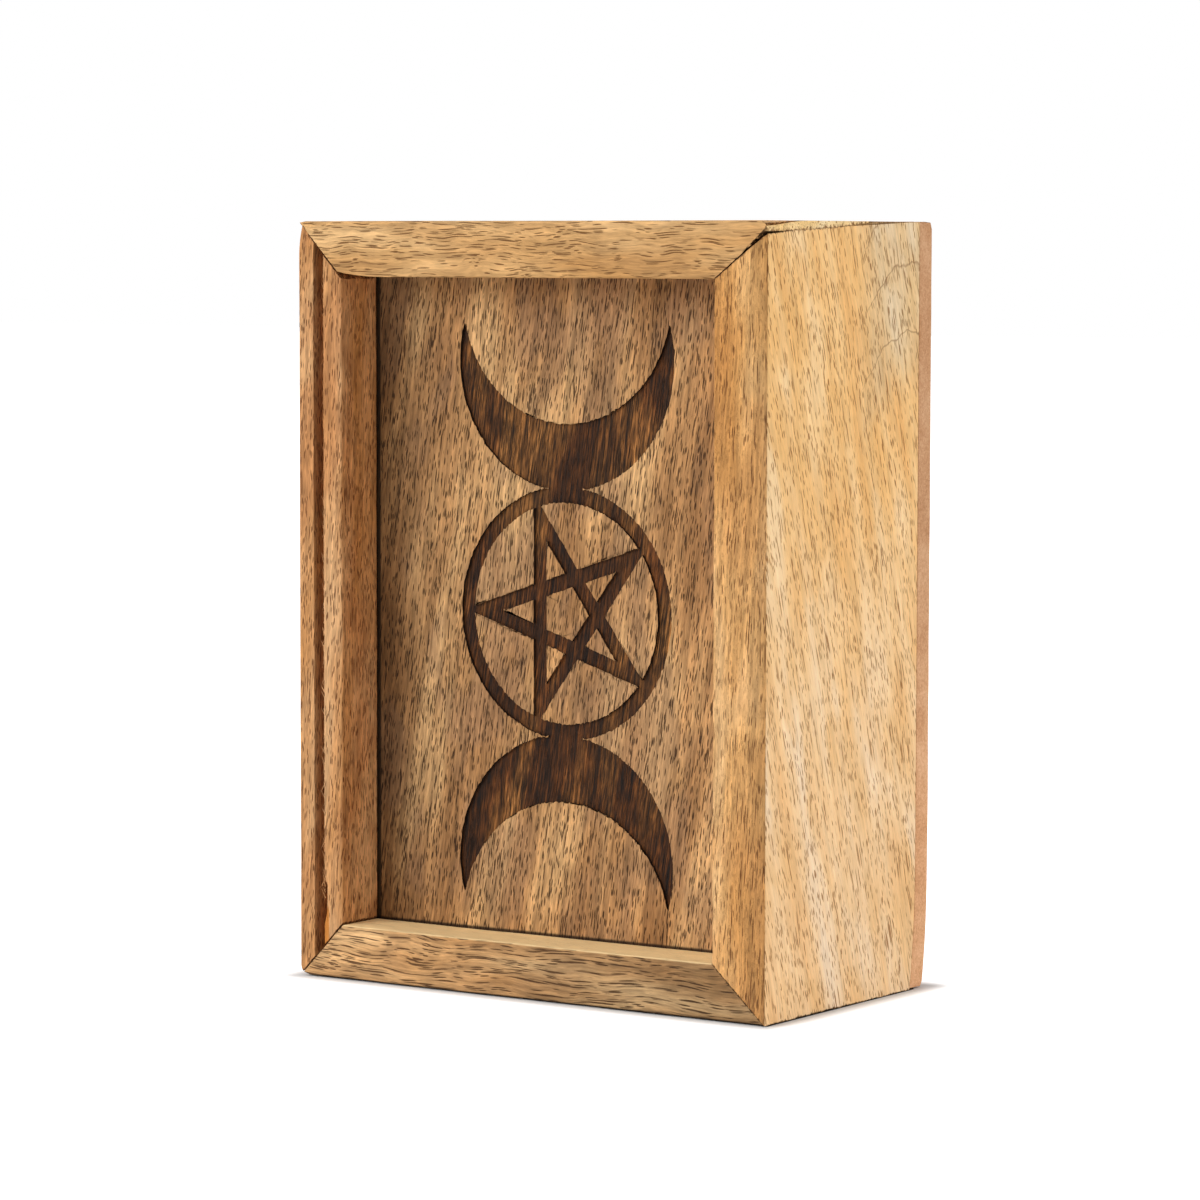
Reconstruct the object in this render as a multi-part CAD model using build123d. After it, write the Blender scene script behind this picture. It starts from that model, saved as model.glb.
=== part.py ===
# Sliding-lid wooden box for a deck of tarot cards, standing on its short end as in use on a shelf.
# Four mitred walls and a thin base board make the box. An engraved panel slides out to the left in
# grooves, and the bar on its end closes the left side of the frame.
# X runs to the right, Y from the lid back to the base, Z up. The origin is the middle of the underside.
from build123d import *
from math import cos, radians
import os

# Outside of the closed box
box_width = 109.5
box_depth = 60.0
box_height = 150.0
corner_round = 1.5
edge_round = 0.8

# Thickness of the boards
end_wall_thickness = 11.0
right_wall_thickness = 12.0
left_wall_thickness = 10.6
base_thickness = 5.0

# Sliding lid
lid_recess = 12.2
panel_thickness = 5.0
groove_depth = 4.5
running_gap = 0.3
mitre_gap = 0.4
panel_seat = 5.0

# Saw kerf along the bar, for the fingernails
kerf_inset = 3.7
kerf_width = 2.2
kerf_depth = 4.5

# Triple moon burnt into the panel, measured from the middle of the frame's opening
emblem_offset_x = 1.6
emblem_offset_z = -0.9
engraving_depth = 0.6
ring_outer_radius = 24.5
ring_inner_radius = 21.7
star_reach = 23.7
star_bar_width = 2.75
star_points = 5
moon_pitch = 48.9
moon_radius = 25.0
moon_cut_radius = 24.6
moon_cut_shift = 12.3

# Panel pins through the base board into the walls
pin_radius = 0.6
pin_head_radius = 1.1
pin_head_thickness = 0.6
pin_point_length = 1.6
pin_length = 16.0
pin_end_inset = 25.0

# Places that several pieces share
left = -box_width / 2
right = box_width / 2
front = -box_depth / 2
back = box_depth / 2
middle_height = box_height / 2
opening_left = left + left_wall_thickness
opening_right = right - right_wall_thickness
opening_bottom = end_wall_thickness
opening_top = box_height - end_wall_thickness
opening_middle = (opening_left + opening_right) / 2
base_front = back - base_thickness
panel_front = front + lid_recess
panel_back = panel_front + panel_thickness
groove_front = panel_front - running_gap
groove_back = panel_back + running_gap
panel_reach = groove_depth - running_gap


def block(x0, x1, y0, y1, z0, z1):
    """Rectangular solid between two opposite corners."""
    corner = (Align.MIN, Align.MIN, Align.MIN)
    return Pos(x0, y0, z0) * Box(x1 - x0, y1 - y0, z1 - z0, align=corner)


def facing_front(x, y, z):
    """Drawing plane seen from the front, with its origin at the given point."""
    return Plane(origin=(x, y, z), x_dir=(1, 0, 0), z_dir=(0, -1, 0))


def board(outline, y0, y1):
    """Board with a straight-sided outline seen from the front, between two depths."""
    face = make_face(Polyline(*outline, close=True))
    return extrude(facing_front(0, y1, 0) * face, amount=y1 - y0)


def rounded_outside():
    """The whole box as one block, with the worn corners and edges that its boards share."""
    outline = facing_front(0, back, middle_height) * RectangleRounded(box_width, box_height, corner_round)
    solid = extrude(outline, amount=box_depth)
    rims = solid.faces().sort_by(Axis.Y)[0].edges() + solid.faces().sort_by(Axis.Y)[-1].edges()
    return fillet(rims, edge_round)


def ease_front_edge(piece, axis, last):
    """Ease the edge of a board's front face that borders the frame's opening."""
    front_face = piece.faces().sort_by(Axis.Y)[0]
    return fillet(front_face.edges().sort_by(axis)[last], edge_round)


def pin_places():
    """Middle of each pin, seen from the back: three in each long wall and one in each short wall."""
    left_line = left + left_wall_thickness / 2
    right_line = right - right_wall_thickness / 2
    heights = (pin_end_inset, middle_height, box_height - pin_end_inset)
    sides = [(x, z) for x in (left_line, right_line) for z in heights]
    ends = [(opening_middle, z) for z in (end_wall_thickness / 2, box_height - end_wall_thickness / 2)]
    return sides + ends


def make_pins():
    """Small headed nails, their heads flush with the back of the base board."""
    profile = Polyline(
        (0, 0),
        (pin_head_radius, 0),
        (pin_head_radius, -pin_head_thickness),
        (pin_radius, -pin_head_thickness),
        (pin_radius, pin_point_length - pin_length),
        (0, -pin_length),
        close=True,
    )
    pin = revolve(Plane.XZ * make_face(profile), Axis.Z)
    return [Pos(x, back, z) * Rot(-90, 0, 0) * pin for x, z in pin_places()]


def make_end_wall():
    """Top wall: mitred at both ends, with a groove for the panel right through to the left mitre."""
    outline = [
        (left, box_height),
        (right, box_height),
        (opening_right, opening_top),
        (opening_left, opening_top),
    ]
    wall = board(outline, front, base_front) & rounded_outside()
    wall = ease_front_edge(wall, Axis.Z, 0)
    groove_top = opening_top + groove_depth
    return wall - block(left, right, groove_front, groove_back, opening_top, groove_top)


def make_right_wall():
    """Closed end of the lid's slide: mitred at both ends, with a groove for the panel's far edge."""
    outline = [
        (right, 0),
        (right, box_height),
        (opening_right, opening_top),
        (opening_right, opening_bottom),
    ]
    wall = board(outline, front, base_front) & rounded_outside()
    wall = ease_front_edge(wall, Axis.X, 0)
    groove_right = opening_right + groove_depth
    return wall - block(opening_right, groove_right, groove_front, groove_back, 0, box_height)


def make_left_wall():
    """Low wall that the lid passes over on its way out."""
    outline = [
        (left, 0),
        (left, box_height),
        (opening_left, opening_top),
        (opening_left, opening_bottom),
    ]
    return board(outline, panel_back + running_gap, base_front) & rounded_outside()


def make_base_board():
    """Thin board over the back of all four walls."""
    return rounded_outside() & block(left, right, base_front, back, 0, box_height)


def make_lid_bar():
    """Front part of the left wall, mitred to match the frame, rebated for the panel and sawn with a kerf."""
    outline = [
        (left, mitre_gap),
        (left, box_height - mitre_gap),
        (opening_left, opening_top - mitre_gap),
        (opening_left, opening_bottom + mitre_gap),
    ]
    bar = board(outline, front, panel_back) & rounded_outside()
    bar = ease_front_edge(bar, Axis.X, -1)
    bar -= block(opening_left - panel_seat, opening_left, panel_front, panel_back, 0, box_height)
    kerf_left = left + kerf_inset
    return bar - block(kerf_left, kerf_left + kerf_width, front, front + kerf_depth, 0, box_height)


def make_star():
    """Five-pointed star of interlaced bars, one point to the left, its tips run into the ring."""
    turn = 360 / star_points
    waist = star_reach * cos(radians(turn)) / cos(radians(turn / 2))
    corners = []
    for i in range(star_points):
        corners.append(Vector(-star_reach, 0).rotate(Axis.Z, i * turn))
        corners.append(Vector(-waist, 0).rotate(Axis.Z, (i + 0.5) * turn))
    outline = make_face(Polyline(*corners, close=True))
    bar_middle = star_reach * cos(radians(turn)) - star_bar_width / 2
    bar = Pos(-bar_middle, 0) * Rectangle(star_bar_width, 2 * star_reach)
    bars = Sketch() + [Rot(0, 0, i * turn) * bar for i in range(star_points)]
    return outline & bars


def make_emblem():
    """Ring with a star inside it, between two crescent moons that touch it back to back."""
    ring = Circle(ring_outer_radius) - Circle(ring_inner_radius)
    moon = Circle(moon_radius) - Pos(0, moon_cut_shift) * Circle(moon_cut_radius)
    upper_moon = Pos(0, moon_pitch) * moon
    lower_moon = mirror(upper_moon, Plane.XZ)
    return ring + make_star() + upper_moon + lower_moon


def make_lid_panel():
    """Panel that runs in the grooves of three walls, glued into the bar at its left end and engraved."""
    panel = block(
        opening_left - panel_seat,
        opening_right + panel_reach,
        panel_front,
        panel_back,
        opening_bottom - panel_reach,
        opening_top + panel_reach,
    )
    emblem_plane = facing_front(opening_middle + emblem_offset_x, panel_front, middle_height + emblem_offset_z)
    return panel - extrude(emblem_plane * make_emblem(), amount=-engraving_depth)


pins = make_pins()
top_wall = make_end_wall()
bottom_wall = mirror(top_wall, Plane.XY.offset(middle_height))
pieces = {
    "top_wall": top_wall - pins,
    "bottom_wall": bottom_wall - pins,
    "right_wall": make_right_wall() - pins,
    "left_wall": make_left_wall() - pins,
    "base_board": make_base_board() - pins,
    "base_pins": Compound(children=pins),
    "lid_panel": make_lid_panel(),
    "lid_bar": make_lid_bar(),
}

os.makedirs("parts", exist_ok=True)
for node, piece in pieces.items():
    export_step(piece, f"parts/{node}.step")
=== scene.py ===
"""Looks of the sliding-lid tarot card box: worn mango boards, a burnt panel and a raw fibreboard base."""
from math import ceil, cos, pi, radians, sin

import bmesh
import bpy
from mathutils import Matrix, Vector, noise


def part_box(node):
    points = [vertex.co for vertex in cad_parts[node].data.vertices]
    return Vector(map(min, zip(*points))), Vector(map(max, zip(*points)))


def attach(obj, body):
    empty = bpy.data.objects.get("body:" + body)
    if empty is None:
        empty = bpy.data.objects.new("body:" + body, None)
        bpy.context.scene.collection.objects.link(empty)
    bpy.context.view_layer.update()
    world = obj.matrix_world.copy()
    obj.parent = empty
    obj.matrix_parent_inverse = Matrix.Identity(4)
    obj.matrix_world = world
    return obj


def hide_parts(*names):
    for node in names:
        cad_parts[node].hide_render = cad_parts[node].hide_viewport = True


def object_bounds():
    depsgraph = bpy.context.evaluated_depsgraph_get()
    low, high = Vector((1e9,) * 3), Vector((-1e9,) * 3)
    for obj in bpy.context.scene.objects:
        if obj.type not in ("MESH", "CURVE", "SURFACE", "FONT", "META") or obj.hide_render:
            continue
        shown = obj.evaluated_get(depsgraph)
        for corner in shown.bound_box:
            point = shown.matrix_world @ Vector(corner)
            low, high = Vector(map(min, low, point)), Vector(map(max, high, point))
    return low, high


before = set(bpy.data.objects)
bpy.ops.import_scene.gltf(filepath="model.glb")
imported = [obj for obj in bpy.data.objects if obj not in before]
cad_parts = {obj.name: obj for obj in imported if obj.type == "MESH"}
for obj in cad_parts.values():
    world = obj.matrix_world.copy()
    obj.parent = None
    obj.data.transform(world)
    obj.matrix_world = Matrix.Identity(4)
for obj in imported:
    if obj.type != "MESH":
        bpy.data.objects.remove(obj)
CAD_LOW, CAD_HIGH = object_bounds()
MM = 0.001
TO_MM = (1 / MM,) * 3

# Places that the solids give, in metres
LEFT, FRONT, FLOOR = CAD_LOW
RIGHT, BACK, TOP = CAD_HIGH
END_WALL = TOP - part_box("top_wall")[0].z
RIGHT_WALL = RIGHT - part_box("right_wall")[0].x
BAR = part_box("lid_bar")[1].x - LEFT
BASE_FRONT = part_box("base_board")[0].y
PANEL_LOW, PANEL_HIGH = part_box("lid_panel")

# Joinery, in metres
SLIDE_GAP = 0.3 * MM
GROOVE = END_WALL - PANEL_LOW.z + SLIDE_GAP
GROOVE_FRONT = PANEL_LOW.y - SLIDE_GAP
GROOVE_BACK = PANEL_HIGH.y + SLIDE_GAP
PANEL_SEAT = LEFT + BAR - PANEL_LOW.x
KERF_INSET = 3.7 * MM
KERF_WIDTH = 2.2 * MM
KERF_DEPTH = 4.5 * MM
BAR_PLAY = 0.4 * MM
MITRE_LINE = 0.07 * MM
ENGRAVING = 0.6 * MM

# Mesh fineness, in metres: along and round a board, and where a torn edge shows
COARSE = 1.4 * MM
FINE = 0.5 * MM
ARC_STEPS = 4


def clamp(x, low=0.0, high=1.0):
    return max(low, min(high, x))


def smooth(x):
    """Soft step from 0 to 1."""
    x = clamp(x)
    return x * x * (3 - 2 * x)


def wander(place, size, seed):
    """Smooth noise from -1 to 1 along one direction, with bumps of the given size."""
    return noise.noise(Vector((place / size, seed * 7.31, seed * 3.17)))


def wear(place, size, seed):
    """The same from 0 to 1, for what only takes wood away."""
    return 0.5 + 0.5 * wander(place, size, seed)


# Boards

def section(corners, radii, parts):
    """Points round a section of square corners, each rounded by its own radius, with its sides divided in parts."""
    arcs = []
    for i, (corner, radius) in enumerate(zip(corners, radii)):
        to_last = (corners[i - 1] - corner).normalized()
        to_next = (corners[(i + 1) % len(corners)] - corner).normalized()
        centre = corner + radius * (to_last + to_next)
        turns = [pi / 2 * step / ARC_STEPS for step in range(ARC_STEPS + 1)]
        arcs.append([centre - radius * (cos(a) * to_next + sin(a) * to_last) for a in turns])
    points = []
    for i, arc in enumerate(arcs):
        points += arc
        following = arcs[(i + 1) % len(arcs)][0]
        points += [arc[-1].lerp(following, k / parts[i]) for k in range(1, parts[i])]
    return points


def skin(name, rows):
    """Closed mesh over a row of sections with equal numbers of points."""
    count = len(rows[0])
    faces = []
    for row in range(len(rows) - 1):
        low, high = row * count, (row + 1) * count
        for i in range(count):
            after = (i + 1) % count
            faces.append((low + i, low + after, high + after, high + i))
    faces.append(tuple(reversed(range(count))))
    faces.append(tuple(range((len(rows) - 1) * count, len(rows) * count)))
    mesh = bpy.data.meshes.new(name)
    mesh.from_pydata([p for points in rows for p in points], [], faces)
    tidy = bmesh.new()
    tidy.from_mesh(mesh)
    bmesh.ops.recalc_face_normals(tidy, faces=tidy.faces)
    tidy.to_mesh(mesh)
    tidy.free()
    mesh.shade_smooth()
    mesh.set_sharp_from_angle(angle=radians(40))
    piece = bpy.data.objects.new(name, mesh)
    bpy.context.scene.collection.objects.link(piece)
    return piece


def board(name, length, station, run, shape, radii, place, start, end):
    """Board lofted along its grain, with each point's distance in mm from the nearer sawn end.

    shape gives the corners (t inwards from the outer face, y) at a place along the length, radii their
    rounding, start and end the two cut ends for a point of the section, and place a point's spot.
    """
    stations = max(2, round(length / station))
    first_shape = [Vector(c) for c in shape(0)]
    sides = [(b - a).length for a, b in zip(first_shape, first_shape[1:] + first_shape[:1])]
    parts = [max(1, ceil(side / run)) for side in sides]
    rows = []
    from_cut = []
    for row in range(stations + 1):
        share = row / stations
        corners = [Vector(c) for c in shape(share * length)]
        points = []
        for t, y in section(corners, radii(share * length), parts):
            first, last = start(t, y), end(t, y)
            along = first * (1 - share) + last * share
            points.append(place(along, t, y))
            from_cut.append(min(along - first, last - along) / MM)
        rows.append(points)
    piece = skin(name, rows)
    piece.data.attributes.new("from_cut", "FLOAT", "POINT").data.foreach_set("value", from_cut)
    return piece


def round_off(piece, x, z, front_radius, at_back=1.0):
    """Wear an outer corner of the box, seen from the front; at_back is the share of the radius left at the back."""
    change = 16 * MM
    toward_x = 1 if x > 0 else -1
    toward_z = 1 if z > TOP / 2 else -1
    for vertex in piece.data.vertices:
        radius = front_radius * (1 + (at_back - 1) * smooth((vertex.co.y - FRONT) / change))
        centre = Vector((x - toward_x * radius, z - toward_z * radius))
        out = Vector((vertex.co.x, vertex.co.z)) - centre
        if out.x * toward_x > 0 and out.y * toward_z > 0 and out.length > radius:
            vertex.co.x, vertex.co.z = centre + out * (radius / out.length)


def dress(piece, body, node, material):
    """Give a piece its material, and put it in place of a solid."""
    piece.data.materials.append(material)
    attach(piece, body)
    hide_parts(node)


def grooved(depth):
    """Section of a wall with the lid's groove; depth is the wall's thickness."""
    return [
        (0, FRONT),
        (0, BASE_FRONT),
        (depth, BASE_FRONT),
        (depth, GROOVE_BACK),
        (depth - GROOVE, GROOVE_BACK),
        (depth - GROOVE, GROOVE_FRONT),
        (depth, GROOVE_FRONT),
        (depth, FRONT),
    ]


def grooved_radii(outer, inner, lip):
    """Radii for a grooved section: its two front edges and the groove's front lip; the hidden edges stay crisp."""
    crisp = 0.05 * MM
    return [outer, 3 * crisp, crisp, crisp, crisp, crisp, lip, inner]


def keep_clean(piece):
    """Keep dirt off the back of the upper right mitre, which closes well, by adding to its distance from the cut."""
    dirty = 27 * MM
    fade = 8 * MM
    added = 4.0
    for vertex, cut in zip(piece.data.vertices, piece.data.attributes["from_cut"].data):
        if vertex.co.x > 0 and vertex.co.z > TOP / 2:
            cut.value += added * smooth((vertex.co.y - FRONT - dirty) / fade)


def cut_short(y):
    """How far the right wall's top lies below the top wall's, from the front to most of the way back."""
    depth = 1.8 * MM
    reach = 38 * MM
    return depth * clamp(1 - ((y - FRONT) / reach) ** 2)


def make_top_wall():
    """Top wall. Its inner edge thins out at the lid's end, and its right end stands over the right wall."""
    length = RIGHT - LEFT
    thinning = 0.9 * MM
    thinning_length = 12 * MM
    blunt = 0.45 * MM
    blunt_from = 0.4 * MM
    whole_rim = 1 * MM

    def shape(s):
        thin = thinning * clamp(1 - s / thinning_length) ** 2.2
        return grooved(END_WALL - thin - 0.1 * MM * wear(s, 16 * MM, 1))

    def radii(s):
        outer = (0.3 + 0.3 * wear(s, 9 * MM, 2)) * MM
        inner = (0.25 + 0.25 * wear(s, 7 * MM, 3)) * MM
        return grooved_radii(outer, inner, 0.5 * MM)

    def start(t, y):
        return LEFT + BAR / END_WALL * t + 0.12 * MM * wear(y, 1.2 * MM, 4) * wear(t, 1.1 * MM, 8)

    def end(t, y):
        faded = clamp(t / whole_rim) * clamp(1.1 - t / END_WALL)
        rough = 0.9 * MM * wear(y, 3 * MM, 5) * wear(t, 0.9 * MM, 6) ** 2 * faded
        short = cut_short(y)
        cut_back = blunt * clamp(short / blunt_from)
        return RIGHT - max(cut_back, RIGHT_WALL / (END_WALL - short) * (t - short)) - MITRE_LINE - rough

    def place(x, t, y):
        sag = 0.1 * MM * wear(x, 40 * MM, 7)
        return Vector((x, y, TOP - t - sag * (1 - t / END_WALL)))

    wall = board("top_wall_board", length, COARSE, FINE, shape, radii, place, start, end)
    round_off(wall, LEFT, TOP, 1.0 * MM)
    round_off(wall, RIGHT, TOP, 2.4 * MM, 0.15)
    keep_clean(wall)
    return wall


def make_sawn_end(material):
    """Top wall's blunt right end, over the right wall's short top; its dirt lies along the lower edge."""
    depth = 36 * MM
    stations = round(depth / FINE)
    shares = [k / 4 for k in range(5)]
    inset, face, thickness = 0.25 * MM, 0.15 * MM, 1.4 * MM
    tucked, sunk, least = 0.25 * MM, 0.06 * MM, 0.05 * MM
    dropped, drop_length = 1.0 * MM, 14 * MM
    rows = []
    from_low = []
    for row in range(stations + 1):
        y = FRONT + inset + depth * row / stations
        low = TOP - cut_short(y) - tucked
        high = TOP - sunk - dropped * (1 - smooth((y - FRONT) / drop_length))
        high = max(high, low + least)
        x = RIGHT - face - 0.2 * MM * wear(y, 0.9 * MM, 71)
        points = [Vector((x, y, low + (high - low) * k)) for k in shares]
        points += [Vector((RIGHT - thickness, y, high)), Vector((RIGHT - thickness, y, low))]
        rows.append(points)
        from_low += [(p.z - low) / MM for p in points]
    end = skin("top_wall_sawn_end", rows)
    end.data.attributes.new("from_cut", "FLOAT", "POINT").data.foreach_set("value", from_low)
    end.data.materials.append(material)
    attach(end, "box")


def make_bottom_wall():
    """Bottom wall, worn along its edges and at its left end."""
    length = RIGHT - LEFT

    def shape(s):
        return grooved(END_WALL - 0.2 * MM * wear(s, 18 * MM, 11))

    def radii(s):
        outer = (1.1 + 0.4 * wear(s, 8 * MM, 12)) * MM
        inner = (0.25 + 0.3 * wear(s, 6 * MM, 13)) * MM
        return grooved_radii(outer, inner, 0.7 * MM)

    def start(t, y):
        return LEFT + BAR / END_WALL * t + 0.25 * MM * wear(y, 1.2 * MM, 14) * wear(t, 1.0 * MM, 16)

    def end(t, y):
        rough = 0.2 * MM * wear(y, 1.3 * MM, 15) * wear(t, 0.9 * MM, 17)
        return RIGHT - RIGHT_WALL / END_WALL * t - MITRE_LINE - rough

    def place(x, t, y):
        return Vector((x, y, t))

    wall = board("bottom_wall_board", length, COARSE, FINE, shape, radii, place, start, end)
    round_off(wall, LEFT, FLOOR, 2.6 * MM)
    return wall


def bend_in(y, z, x):
    """How far the back of the box leans forward at its lower right corner."""
    height = 26 * MM
    depth = 2.0 * MM
    rear = smooth((y - FRONT) / (BACK - FRONT))
    low = clamp(1 - z / height)
    side = smooth(x / RIGHT)
    return depth * low * low * rear * side


def make_right_wall():
    """Right wall. Its top was cut short at the front, so the mitre there stays open and ragged."""
    length = TOP - FLOOR
    slope = END_WALL / RIGHT_WALL
    chipped = 2 * MM
    open_depth = 8 * MM

    def shape(s):
        return grooved(RIGHT_WALL - 0.12 * MM * wear(s, 20 * MM, 21))

    def radii(s):
        outer = (0.2 + 0.2 * wear(s, 6 * MM, 22)) * MM
        inner = (0.3 + 0.3 * wear(s, 8 * MM, 23)) * MM
        return grooved_radii(outer, inner, 0.5 * MM)

    def start(t, y):
        chips = 0.7 * MM * wear(y, 0.8 * MM, 24) * wear(y, 4 * MM, 25) * clamp(1 - t / chipped)
        return FLOOR + max(slope * t, chips) + MITRE_LINE

    def end(t, y):
        short = cut_short(y)
        near_face = clamp(1 - t / RIGHT_WALL)
        at_front = (1 - smooth((y - FRONT) / open_depth)) * near_face
        opening = (0.02 + 0.25 * at_front) * MM
        ragged = (0.15 + 0.85 * at_front) * MM * wear(y, 0.7 * MM, 26) * wear(t, 1.1 * MM, 27) ** 2
        return TOP - short - (END_WALL - short) / RIGHT_WALL * t - opening - MITRE_LINE - ragged

    def place(z, t, y):
        x = RIGHT - t - 0.12 * MM * wear(z, 45 * MM, 28) * (1 - t / RIGHT_WALL)
        return Vector((x, y - bend_in(y, z, x), z))

    wall = board("right_wall_board", length, COARSE, FINE, shape, radii, place, start, end)
    keep_clean(wall)
    return wall


def make_left_wall():
    """Low wall under the lid, its front edge as the saw left it."""
    length = TOP - FLOOR
    slope = END_WALL / BAR
    crest = PANEL_HIGH.y + SLIDE_GAP

    def shape(s):
        sawn = 0.12 * MM * wear(s, 2.5 * MM, 31)
        return [(0, crest + sawn), (0, BASE_FRONT), (BAR, BASE_FRONT), (BAR, crest + sawn)]

    def radii(s):
        return [(0.2 + 0.2 * wear(s, 5 * MM, 32)) * MM, 0.15 * MM, 0.05 * MM, 0.2 * MM]

    def start(t, y):
        return FLOOR + slope * t + MITRE_LINE

    def end(t, y):
        return TOP - slope * t - MITRE_LINE

    def place(z, t, y):
        return Vector((LEFT + t + 0.12 * MM * wear(z, 45 * MM, 33) * (1 - t / BAR), y, z))

    wall = board("left_wall_board", length, COARSE, COARSE, shape, radii, place, start, end)
    round_off(wall, LEFT, FLOOR, 2.6 * MM)
    round_off(wall, LEFT, TOP, 1.0 * MM)
    return wall


def make_lid_bar():
    """Lid's bar, with the kerf torn along its inner lip and split at the foot, and a worn top corner."""
    length = TOP - FLOOR
    slope = END_WALL / BAR
    seat = BAR - PANEL_SEAT
    split_foot, split_head, split_taper = 4 * MM, 15 * MM, 3 * MM
    worn_in, worn_down = 1.1 * MM, 7 * MM

    def split(s):
        return smooth((split_head - s) / split_taper) * smooth((s - split_foot) / split_taper)

    def shape(s):
        torn = 0.4 * MM * wear(s, 0.8 * MM, 41) * wear(s, 6 * MM, 42)
        lip = KERF_INSET + KERF_WIDTH + torn + 0.35 * MM * split(s)
        edge = KERF_INSET - 0.2 * MM * wear(s, 3 * MM, 43)
        floor = FRONT + KERF_DEPTH
        inner = BAR - 0.25 * MM * wear(s, 7 * MM, 50)
        return [
            (0, FRONT),
            (0, PANEL_HIGH.y),
            (seat, PANEL_HIGH.y),
            (seat, PANEL_LOW.y),
            (inner, PANEL_LOW.y),
            (inner, FRONT),
            (lip, FRONT),
            (lip, floor),
            (edge, floor),
            (edge, FRONT),
        ]

    def radii(s):
        crisp = 0.05 * MM
        outer = (0.12 + 0.2 * wear(s, 12 * MM, 44)) * MM
        inner = (0.25 + 0.35 * wear(s, 5 * MM, 45)) * MM
        lip = (0.06 + 0.2 * wear(s, 1.6 * MM, 46) + 0.6 * split(s)) * MM
        return [outer, 3 * crisp, crisp, crisp, 1.1 * MM, inner, lip, crisp, crisp, 2 * crisp]

    def start(t, y):
        return FLOOR + slope * t + BAR_PLAY + 0.35 * MM * wear(y, 1.2 * MM, 47) * wear(t, 0.9 * MM, 51)

    def end(t, y):
        return TOP - slope * t - BAR_PLAY - 0.1 * MM * wear(y, 1.5 * MM, 48)

    def place(z, t, y):
        worn = worn_in * clamp(1 - (TOP - z) / worn_down) ** 2 + 0.05 * MM * wear(z, 35 * MM, 49)
        return Vector((LEFT + t + worn * (1 - t / BAR), y, z))

    bar = board("lid_bar_board", length, FINE, COARSE, shape, radii, place, start, end)
    round_off(bar, LEFT, TOP, 1.0 * MM)
    round_off(bar, LEFT, FLOOR, 2.6 * MM)
    return bar


def make_base_board():
    """Thin base board with soft corners; its face lies a hair below the pins' heads."""
    length = TOP - FLOOR
    sunk = 0.12 * MM

    def shape(s):
        return [(0, BASE_FRONT), (0, BACK - sunk), (RIGHT - LEFT, BACK - sunk), (RIGHT - LEFT, BASE_FRONT)]

    def radii(s):
        back = (0.4 + 0.3 * wear(s, 10 * MM, 51)) * MM
        return [0.1 * MM, back, back, 0.1 * MM]

    def start(t, y):
        return FLOOR

    def end(t, y):
        return TOP

    def place(z, t, y):
        x = LEFT + t
        return Vector((x, y - bend_in(y, z, x), z))

    base = board("base_board_sheet", length, COARSE, COARSE, shape, radii, place, start, end)
    for x in (LEFT, RIGHT):
        for z in (FLOOR, TOP):
            round_off(base, x, z, 1.2 * MM)
    return base


def make_lid_panel():
    """Panel with the outline of its emblem burnt a little wider and broken up by the fibres."""
    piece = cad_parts["lid_panel"].copy()
    piece.data = piece.data.copy()
    piece.name = piece.data.name = "lid_panel_engraved"
    piece.data.materials.clear()
    for key in list(piece.keys()):
        del piece[key]
    piece.parent = None
    bpy.context.scene.collection.objects.link(piece)
    tooth = 0.25 * MM
    fray = 0.16 * MM
    widening = 0.18 * MM
    floor_y = PANEL_LOW.y + ENGRAVING
    near = 0.01 * MM
    # Share of Y in a face's normal: below the first it is a wall of the engraving, above the second it lies flat
    upright, flat = 0.3, 0.7
    mesh = bmesh.new()
    mesh.from_mesh(piece.data)
    bmesh.ops.remove_doubles(mesh, verts=mesh.verts, dist=near)

    def on_emblem(edge):
        depths = [v.co.y for v in edge.verts]
        level = abs(depths[0] - depths[1]) < near
        normals = [abs(f.normal.y) for f in edge.link_faces]
        sharp = len(normals) == 2 and min(normals) < upright and max(normals) > flat
        inside = all(PANEL_LOW.x + near < v.co.x < PANEL_HIGH.x - near for v in edge.verts)
        return level and sharp and inside and depths[0] < floor_y + near

    for _ in range(6):
        long_edges = [e for e in mesh.edges if on_emblem(e) and e.calc_length() > tooth]
        if not long_edges:
            break
        bmesh.ops.subdivide_edges(mesh, edges=long_edges, cuts=1)
    mesh.normal_update()
    away = {}
    for vertex in {v for e in mesh.edges if on_emblem(e) for v in e.verts}:
        walls = [f.normal for f in vertex.link_faces if abs(f.normal.y) < upright]
        away[vertex] = -sum(walls, Vector()).normalized()
    for vertex, direction in away.items():
        x, z = vertex.co.x, vertex.co.z
        vertex.co += widening * direction
        vertex.co.x += fray * noise.noise(Vector((x / (0.5 * MM), z / (2 * MM), 61)))
        vertex.co.z += 2 * fray * noise.noise(Vector((x / (0.35 * MM), z / (3 * MM), 62)))
    bmesh.ops.triangulate(mesh, faces=mesh.faces)
    mesh.to_mesh(piece.data)
    mesh.free()
    burnt = piece.data.attributes.new("burnt", "FLOAT", "POINT")
    burnt.data.foreach_set("value", [float(abs(v.co.y - floor_y) < near) for v in piece.data.vertices])
    piece.data.shade_flat()
    return piece


# Node trees

def linear(colour):
    """Linear colour from an sRGB hex value."""
    parts = [int(colour[i:i + 2], 16) / 255 for i in (1, 3, 5)]
    return tuple(p / 12.92 if p <= 0.04045 else ((p + 0.055) / 1.055) ** 2.4 for p in parts) + (1.0,)


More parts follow.
